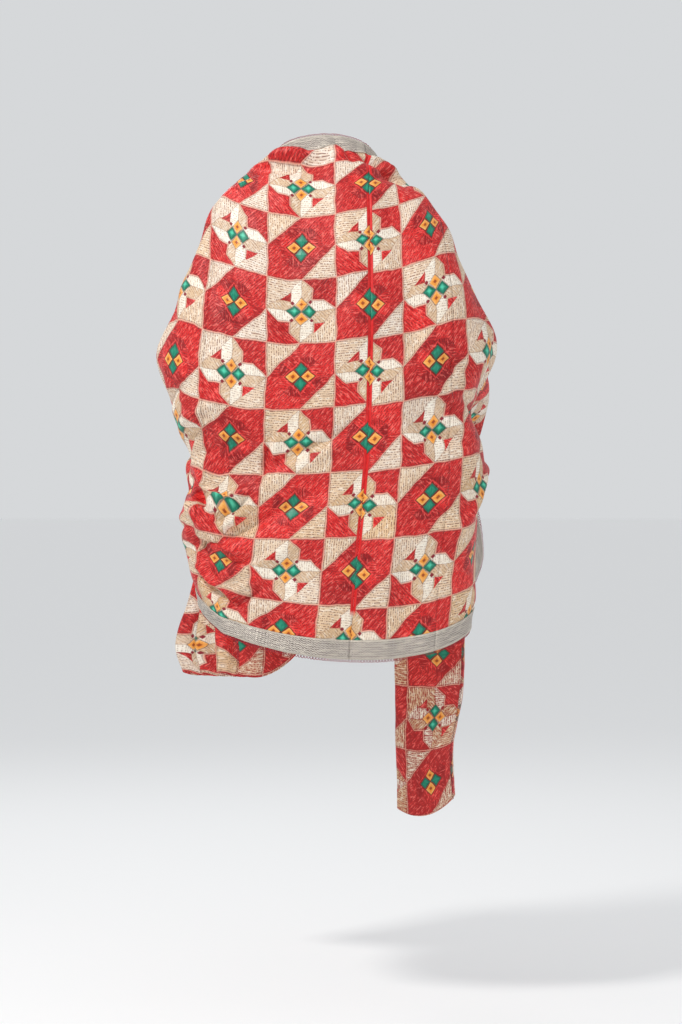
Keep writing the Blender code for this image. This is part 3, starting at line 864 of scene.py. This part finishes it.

    # Colours
    # Warmth of the cream: random per cell and in patches, plus painted shade that turns it warmer and darker
    # towards the hem
    paintedLowShade = n.fit(v0, 0.55, -0.10)
    warm = n.do("ADD", n.fit(own, 0.60, paintedLowShade), n.fit(patch, 0.9, -0.45), clamp=True)
    # Painted highlight: the brightest thread streaks, painted whiter on cream and pinker on red as satin
    # sheen
    paintedHighlight = n.ramp(thread, 3.2, -2.0)
    cloudy = n.mix(warm, f["creamCool"], f["creamWarm"])
    quarterTone = n.mix(n.mul(n.flip(thread), 0.40), cloudy, f["tan"])
    # Painted sheen on the star arms: the lit arms near white, the shaded arms tan
    sheenLitArmTone = n.mix(n.mul(warm, 0.35), f["white"], f["creamWarm"])
    armTone = n.mix(sheenLitArm, n.mix(0.55, cloudy, f["tan"]), sheenLitArmTone)
    armTone = n.mix(n.mul(n.flip(thread), 0.26), armTone, f["tan"])
    creamTone = n.mix(n.mul(cream, star), quarterTone, armTone)
    # painted highlight on the cream
    creamTone = n.mix(n.mul(paintedHighlight, 0.45), creamTone, f["white"])
    creamTone = n.mix(n.mul(ends, n.blend(star, 0.92, 0.55)), creamTone, f["stitch"])
    # Painted sheen: lit and shaded copies of the red floss, each facet painted lit or shaded by its stitch
    # direction, with a random share per cell
    sheenLitRed = n.mix(n.mul(thread, 0.85), f["red"], f["redLight"])
    sheenShadedRed = n.mix(thread, f["redDark"], f["redPetal"])
    spin = n.do("FRACT", n.add(n.mul(petals, 0.5), n.add(n.mul(leaning, 0.25), n.mul(other, 0.6))))
    petalLit = n.ramp(spin, 1.7, -0.45)
    fieldLit = n.do("ADD", n.mul(leaning, -0.35), n.fit(other, 0.5, 0.62), clamp=True)
    flowerLit = n.blend(inner, fieldLit, petalLit)
    cornerLit = n.do("ADD", n.mul(other, 0.35), n.mul(below, 0.30), clamp=True)
    redTone = n.mix(n.blend(cream, flowerLit, n.fit(cornerLit, 1.0, 0.30)), sheenShadedRed, sheenLitRed)
    redTone = n.mix(n.ramp(patch, -2.6, 1.25), redTone, f["redDark"])
    # painted highlight on the red
    redTone = n.mix(n.mul(paintedHighlight, 0.46), redTone, f["paintedRedHighlight"])
    redTone = n.mix(n.mul(ends, 0.74), redTone, f["groundRed"])
    tone = n.mix(isRed, creamTone, redTone)

    # Lines where red and cream meet
    border = n.least(n.least(x, n.sub(1.0, x)), n.least(y, n.sub(1.0, y)))
    starRim = n.size(n.either(n.sub(closest, f["starHalf"]), n.sub(span, 0.5)))
    starEdge = n.add(starRim, n.mul(plainQuarter, 0.2))
    redEdge = n.size(n.sub(diagonal, 0.5))
    shapeEdge = n.blend(cream, redEdge, starEdge)
    edge = n.least(border, shapeEdge)
    pale = n.below(edge, 0.009, 0.010)
    dark = n.mul(n.below(edge, 0.021, 0.010), n.flip(pale))
    innerEdge = n.size(n.sub(span, f["flowerSpan"]))
    petalLines = n.least(innerEdge, n.least(closest, n.size(sideways)))
    petalEdge = n.mul(n.flip(cream), n.mul(near, n.below(petalLines, 0.006, 0.010)))
    armEdge = n.mul(n.mul(cream, star), n.below(n.least(closest, n.size(sideways)), 0.005, 0.009))
    armRim = n.mul(n.mul(cream, plainQuarter), n.below(starRim, 0.006, 0.010))
    ringAt = n.add(n.mul(awayX, 1 / 0.24), n.mul(awayY, 1 / 0.26))
    ring = n.mul(n.flip(cream), n.below(n.size(n.sub(ringAt, 1.0)), 0.045, 0.05))
    tone = n.mix(n.mul(dark, 0.55), tone, f["shade"])
    tone = n.mix(n.mul(pale, 0.72), tone, f["line"])
    tone = n.mix(n.mul(n.either(armEdge, armRim), 0.42), tone, f["stitch"])
    tone = n.mix(n.mul(petalEdge, 0.50), tone, f["groundRed"])
    tone = n.mix(n.mul(ring, 0.55), tone, f["redLight"])

    # The plain strip where two widths are joined
    offJoin = n.size(n.sub(u0, f["joinAt"]))
    joinLength = n.below(v0, f["joinTo"], 0.01)
    join = n.mul(n.below(offJoin, f["joinHalf"], 0.0012), joinLength)
    beside = n.mul(n.below(n.size(n.sub(offJoin, f["joinHalf"])), 0.0007, 0.0010), joinLength)
    tone = n.mix(join, tone, n.mix(n.mul(upright, 0.35), f["red"], f["redLight"]))
    tone = n.mix(n.mul(beside, 0.25), tone, f["groundRed"])

    # Gems, worked over everything else
    greenAt = gemPlace(n, f["greenAt"], a, b)
    orangeAt = gemPlace(n, f["orangeAt"], b, a)
    greenIn = n.below(greenAt, 1.0, 0.09)
    orangeIn = n.below(orangeAt, 0.98, 0.09)
    gemRim = n.below(n.least(greenAt, orangeAt), 1.17, 0.10)
    greenEdgeShade = n.above(greenAt, 0.66, 0.25)
    orangeEdge = n.above(orangeAt, 0.70, 0.22)
    small = n.below(n.add(n.size(n.sub(a, 0.135)), n.size(n.sub(b, 0.135))), 0.034, 0.014)
    # Painted highlight near the middle of each green gem
    paintedGlint = n.below(n.add(n.size(n.sub(a, 0.105)), n.size(n.add(midY, 0.012))), 0.034, 0.045)
    dotIn = n.below(n.add(n.size(n.sub(b, 0.112)), n.size(a)), 0.030, 0.020)
    tone = n.mix(n.mul(small, cream), tone, f["maroon"])
    tone = n.mix(n.mul(gemRim, n.blend(cream, 0.85, 0.55)), tone, f["gemRim"])
    orangeLit = n.do("ADD", n.mul(along, 0.35), n.mul(orangeEdge, 0.30), clamp=True)
    orangeTone = n.mix(orangeLit, f["orange"], f["peach"])
    tone = n.mix(orangeIn, tone, orangeTone)
    tone = n.mix(n.mul(dotIn, 0.85), tone, f["dot"])
    # Green gems: a painted highlight inside and painted shade darkening towards their edges
    greenLit = n.do("ADD", n.mul(paintedGlint, 0.9), n.mul(upright, 0.25), clamp=True)
    greenTone = n.mix(greenLit, f["green"], f["greenLight"])
    tone = n.mix(greenIn, tone, n.mix(n.mul(greenEdgeShade, 0.55), greenTone, f["greenDark"]))
    gems = n.either(greenIn, orangeIn)

    # Height and gloss
    height = n.fit(thread, 0.34, 0.45)
    height = n.sub(height, n.mul(ends, 0.34))
    height = n.sub(height, n.mul(n.either(dark, n.either(armEdge, petalEdge)), 0.22))
    height = n.add(height, n.mul(pale, 0.20))
    height = n.blend(join, height, 0.25)
    dome = n.do("SUBTRACT", 1.0, n.least(greenAt, orangeAt), clamp=True)
    height = n.blend(gems, height, n.fit(dome, 0.9, 0.95))
    gloss = n.do("ADD", n.mul(isRed, 0.50), n.add(n.mul(thread, 0.30), n.mul(gems, 0.6)), clamp=True)
    for label, value in (("Color", tone), ("Height", height), ("Gloss", gloss), ("Gems", gems)):
        n.feed(result.inputs[label], value)
    return tree


def flatPlace(n):
    return n.node("ShaderNodeUVMap", uv_map="flatCloth").outputs[0]


floss = {"glossSmooths": -0.24, "roughOutside": 0.62, "roughInside": 0.72, "specular": 0.36, "sheen": 0.04,
         "sheenRoughness": 0.4, "reliefOutside": 0.9, "reliefInside": 0.7, "relief": 0.0011,
         "bareSlope": -2.6, "bareFrom": 1.80}


def newMaterial(name):
    material = bpy.data.materials.new(name)
    material.use_nodes = True
    return material, Net(material.node_tree), material.node_tree.nodes["Principled BSDF"]


def addBump(n, shader, strength, distance, height):
    bump = n.node("ShaderNodeBump")
    bump.inputs["Strength"].default_value = strength
    bump.inputs["Distance"].default_value = distance
    n.feed(bump.inputs["Height"], height)
    n.feed(shader.inputs["Normal"], bump.outputs[0])


def embroidered(name, group, outside):
    material, n, shader = newMaterial(name)
    inked = n.node("ShaderNodeGroup", node_tree=group)
    n.feed(inked.inputs[0], flatPlace(n))
    tone, height, gloss, gems = inked.outputs
    if not outside:
        bare = n.ramp(height, floss["bareSlope"], floss["bareFrom"])
        tone = n.mix(n.mul(n.flip(gems), bare), tone, figure["back"])
    n.feed(shader.inputs["Base Color"], tone)
    rough = floss["roughOutside" if outside else "roughInside"]
    n.feed(shader.inputs["Roughness"], n.fit(gloss, floss["glossSmooths"], rough))
    shader.inputs["Specular IOR Level"].default_value = floss["specular"]
    shader.inputs["Sheen Weight"].default_value = floss["sheen"]
    shader.inputs["Sheen Roughness"].default_value = floss["sheenRoughness"]
    addBump(n, shader, floss["reliefOutside" if outside else "reliefInside"], floss["relief"], height)
    return material


silver = {"zig": 0.0056, "rise": 0.0024, "row": 0.0038, "rib": 0.0017, "selvage": 0.0030, "relief": 0.0008,
          "light": tint(206, 196, 186), "dark": tint(84, 70, 62), "paintedGlint": tint(232, 222, 206)}


def silverMaterial():
    material, n, shader = newMaterial("silverLace")
    parts = n.node("ShaderNodeSeparateXYZ")
    n.feed(parts.inputs[0], flatPlace(n))
    u, v = parts.outputs[0], parts.outputs[1]
    zig = n.size(n.sub(n.do("FRACT", n.mul(u, 1 / silver["zig"])), 0.5))
    wave = n.do("FRACT", n.mul(n.add(v, n.mul(zig, 2 * silver["rise"])), 1 / silver["row"]))
    strand = n.sub(1.0, n.mul(n.size(n.sub(wave, 0.5)), 2.0))
    fine = n.speckle(u, v, 900.0, 900.0, 0.0, 1.0)
    broad = n.speckle(u, v, 60.0, 220.0, 3.0, 1.0)
    cross = n.size(n.sub(n.do("FRACT", n.mul(u, 1 / silver["rib"])), 0.5))
    grain = n.speckle(u, v, 420.0, 420.0, 6.0, 0.0)
    cover = n.ramp(n.add(strand, n.mul(grain, 1.1)), 1.7, -1.00)
    tone = n.mix(cover, silver["dark"], silver["light"])
    # Painted reflection: broad patches of the lace painted towards the lighter glint colour
    tone = n.mix(n.ramp(broad, 2.0, -0.9), tone, silver["paintedGlint"])
    edges = n.least(n.size(v), n.size(n.sub(cloth["width"], v)))
    fromEdge = n.least(edges, n.size(n.sub(ribbon["width"], edges)))
    band = n.below(fromEdge, silver["selvage"], 0.001)
    # Painted highlight along the raised selvage edges
    tone = n.mix(n.mul(band, 0.5), tone, silver["paintedGlint"])
    n.feed(shader.inputs["Base Color"], tone)
    n.feed(shader.inputs["Metallic"], n.fit(cover, 0.25, 0.30))
    n.feed(shader.inputs["Roughness"], n.fit(fine, 0.25, 0.34))
    addBump(n, shader, 0.8, silver["relief"], n.add(n.add(strand, n.mul(cross, 0.5)), n.mul(band, 0.4)))
    return material


def picotMaterial():
    material, n, shader = newMaterial("maroonThread")
    place = n.node("ShaderNodeTexCoord").outputs["Object"]
    scaled = n.node("ShaderNodeVectorMath", operation="SCALE")
    n.feed(scaled.inputs[0], place)
    n.feed(scaled.inputs["Scale"], picot["twist"])
    twist = n.noise(scaled.outputs[0], 2.0)
    n.feed(shader.inputs["Base Color"], n.mix(twist, tint(100, 10, 28), tint(176, 30, 52)))
    shader.inputs["Roughness"].default_value = 0.6
    addBump(n, shader, 0.6, picot["relief"], twist)
    return material


def makePicotNodes(material):
    # Small thread loops standing on every point, turned by the point's own directions
    tree = bpy.data.node_groups.new("picotLoops", "GeometryNodeTree")
    tree.interface.new_socket("Geometry", in_out="INPUT", socket_type="NodeSocketGeometry")
    for label, start in (("Reach", picot["reach"]), ("Thickness", picot["thickness"]),
                         ("Unevenness", picot["unevenness"])):
        made = tree.interface.new_socket(label, in_out="INPUT", socket_type="NodeSocketFloat")
        made.default_value = start
    made = tree.interface.new_socket("Seed", in_out="INPUT", socket_type="NodeSocketInt")
    made.default_value = picot["seed"]
    tree.interface.new_socket("Geometry", in_out="OUTPUT", socket_type="NodeSocketGeometry")
    n = Net(tree)
    given, result = n.node("NodeGroupInput"), n.node("NodeGroupOutput")
    arc = n.node("GeometryNodeCurveArc", mode="RADIUS")
    n.feed(arc.inputs["Resolution"], picot["arcPoints"])
    n.feed(arc.inputs["Start Angle"], math.radians(picot["arcFrom"]))
    n.feed(arc.inputs["Sweep Angle"], math.radians(picot["arcTurn"]))
    radius = n.mul(given.outputs["Reach"], picot["radiusShare"])
    n.feed(arc.inputs["Radius"], radius)
    lifted = n.node("GeometryNodeTransform")
    n.feed(lifted.inputs["Geometry"], arc.outputs[0])
    n.feed(lifted.inputs["Translation"], n.join(0.0, radius, 0.0))
    ringProfile = n.node("GeometryNodeCurvePrimitiveCircle", mode="RADIUS")
    n.feed(ringProfile.inputs["Resolution"], picot["sides"])
    n.feed(ringProfile.inputs["Radius"], n.mul(given.outputs["Thickness"], 0.5))
    tube = n.node("GeometryNodeCurveToMesh")
    n.feed(tube.inputs["Fill Caps"], True)
    n.feed(tube.inputs["Curve"], lifted.outputs[0])
    n.feed(tube.inputs["Profile Curve"], ringProfile.outputs[0])
    points = n.node("GeometryNodeMeshToPoints")
    n.feed(points.inputs["Mesh"], given.outputs["Geometry"])
    run = n.node("GeometryNodeInputNamedAttribute", data_type="FLOAT_VECTOR")
    n.feed(run.inputs["Name"], "run")
    out = n.node("GeometryNodeInputNamedAttribute", data_type="FLOAT_VECTOR")
    n.feed(out.inputs["Name"], "out")
    turned = n.node("FunctionNodeAxesToRotation", primary_axis="X", secondary_axis="Y")
    n.feed(turned.inputs[0], run.outputs[0])
    n.feed(turned.inputs[1], out.outputs[0])
    size = n.node("FunctionNodeRandomValue", data_type="FLOAT")
    n.feed(size.inputs[2], n.flip(given.outputs["Unevenness"]))
    size.inputs[3].default_value = 1.0
    n.feed(size.inputs["Seed"], given.outputs["Seed"])
    placed = n.node("GeometryNodeInstanceOnPoints")
    n.feed(placed.inputs["Points"], points.outputs[0])
    n.feed(placed.inputs["Instance"], tube.outputs[0])
    n.feed(placed.inputs["Rotation"], turned.outputs[0])
    n.feed(placed.inputs["Scale"], size.outputs[1])
    real = n.node("GeometryNodeRealizeInstances")
    n.feed(real.inputs[0], placed.outputs[0])
    finish = n.node("GeometryNodeSetMaterial")
    n.feed(finish.inputs["Material"], material)
    n.feed(finish.inputs["Geometry"], real.outputs[0])
    n.feed(result.inputs[0], finish.outputs[0])
    return tree


def evenPoints(line, extra, pitch):
    steps = np.linalg.norm(np.diff(line, axis=0), axis=-1)
    length = np.concatenate([[0.0], np.cumsum(steps)])
    count = max(2, int(round(length[-1] / pitch)))
    at = (np.arange(count) + 0.5) * length[-1] / count
    return [np.stack([np.interp(at, length, item[:, axis]) for axis in range(3)], axis=-1)
            for item in (line, *extra)]


def makePicots(name, edge, inner, tree):
    # Loops along one edge of a stretch, reaching past it in the cloth's own direction
    run = unit(np.gradient(edge, axis=0))
    beyond = edge - inner
    beyond = unit(beyond - run * np.sum(beyond * run, axis=-1, keepdims=True))
    places, runs, outs = evenPoints(edge, (run, beyond), picot["pitch"])
    places = places + unit(outs) * picot["gap"]
    mesh = bpy.data.meshes.new(name)
    mesh.from_pydata([tuple(p) for p in places], [], [])
    for label, values in (("run", runs), ("out", outs)):
        made = mesh.attributes.new(label, "FLOAT_VECTOR", "POINT")
        made.data.foreach_set("vector", unit(values).astype(np.float32).ravel())
    piece = bpy.data.objects.new(name, mesh)
    scene.collection.objects.link(piece)
    modifier = piece.modifiers.new("picots", "NODES")
    settings = {"Reach": picot["reach"], "Thickness": picot["thickness"], "Unevenness": picot["unevenness"],
                "Seed": picot["seed"]}
    modifier.node_group = tree
    for item in tree.interface.items_tree:
        if item.in_out == "INPUT" and item.name in settings:
            modifier[item.identifier] = settings[item.name]
    bpy.context.view_layer.update()
    evaluated = piece.evaluated_get(bpy.context.evaluated_depsgraph_get())
    solid = bpy.data.meshes.new_from_object(evaluated)
    piece.modifiers.clear()
    piece.data = solid
    solid.name = name
    for polygon in solid.polygons:
        polygon.use_smooth = True
    return piece


def joined(name, pieces):
    # Several pieces made into one mesh
    first = pieces[0]
    with bpy.context.temp_override(active_object=first, object=first, selected_objects=pieces,
                                   selected_editable_objects=pieces):
        bpy.ops.object.join()
    first.name = name
    first.data.name = name
    return first


def makeShawl():
    columns, rows = clothColumns(), clothRows()
    points = drape(columns, rows)
    normals = gridNormals(points)
    print("cloth grid", len(columns), len(rows), flush=True)
    group = makeFigureGroup()
    outside = embroidered("phulkariOutside", group, True)
    inside = embroidered("phulkariInside", group, False)
    lace, thread = silverMaterial(), picotMaterial()
    tree = makePicotNodes(thread)
    raised = points + normals * (cloth["wall"] / 2 + ribbon["gap"] + ribbon["wall"] / 2)
    neckRows = rows <= ribbon["width"] + 1e-6
    hemRows = rows >= cloth["width"] - ribbon["width"] - 1e-6
    for name, node, begin, end, held, restsOn in stretches:
        chosen = (columns >= begin - 1e-6) & (columns <= end + 1e-6)

        def cut(grid):
            piece = grid[chosen].copy()
            if begin != cloth["leftEnd"]:
                piece[0] += (piece[1] - piece[0]) * cloth["seamGap"] / 2 / cloth["step"]
            if end != cloth["rightEnd"]:
                piece[-1] += (piece[-2] - piece[-1]) * cloth["seamGap"] / 2 / cloth["step"]
            return piece

        u = columns[chosen]
        body = cut(points)
        facing = normals[chosen]
        sheet = shell(name + "Cloth", body, facing, cloth["wall"], u, rows, [outside, inside])
        high = cut(raised)
        bands = []
        for label, where in (("Neck", neckRows), ("Hem", hemRows)):
            bands.append(shell(name + label, high[:, where], facing[:, where], ribbon["wall"], u, rows[where],
                               [lace]))
        braid = joined(name + "Ribbon", bands)
        loops = [makePicots(name + "NeckLoops", body[:, 0], body[:, 1], tree),
                 makePicots(name + "HemLoops", body[:, -1], body[:, -2], tree)]
        loops = joined(name + "Picots", loops)
        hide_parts(node)
        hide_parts("neck_ribbon_" + node, "hem_ribbon_" + node)
        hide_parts("neck_picots_" + node, "hem_picots_" + node)
        for piece, slot in ((sheet, "cloth"), (braid, "ribbon"), (loops, "picots")):
            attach(piece, "root")
        print("made", name, len(sheet.data.polygons), flush=True)


makeStudio()
print("studio made", flush=True)
makeShawl()

bpy.context.view_layer.update()
print("finishing", flush=True)
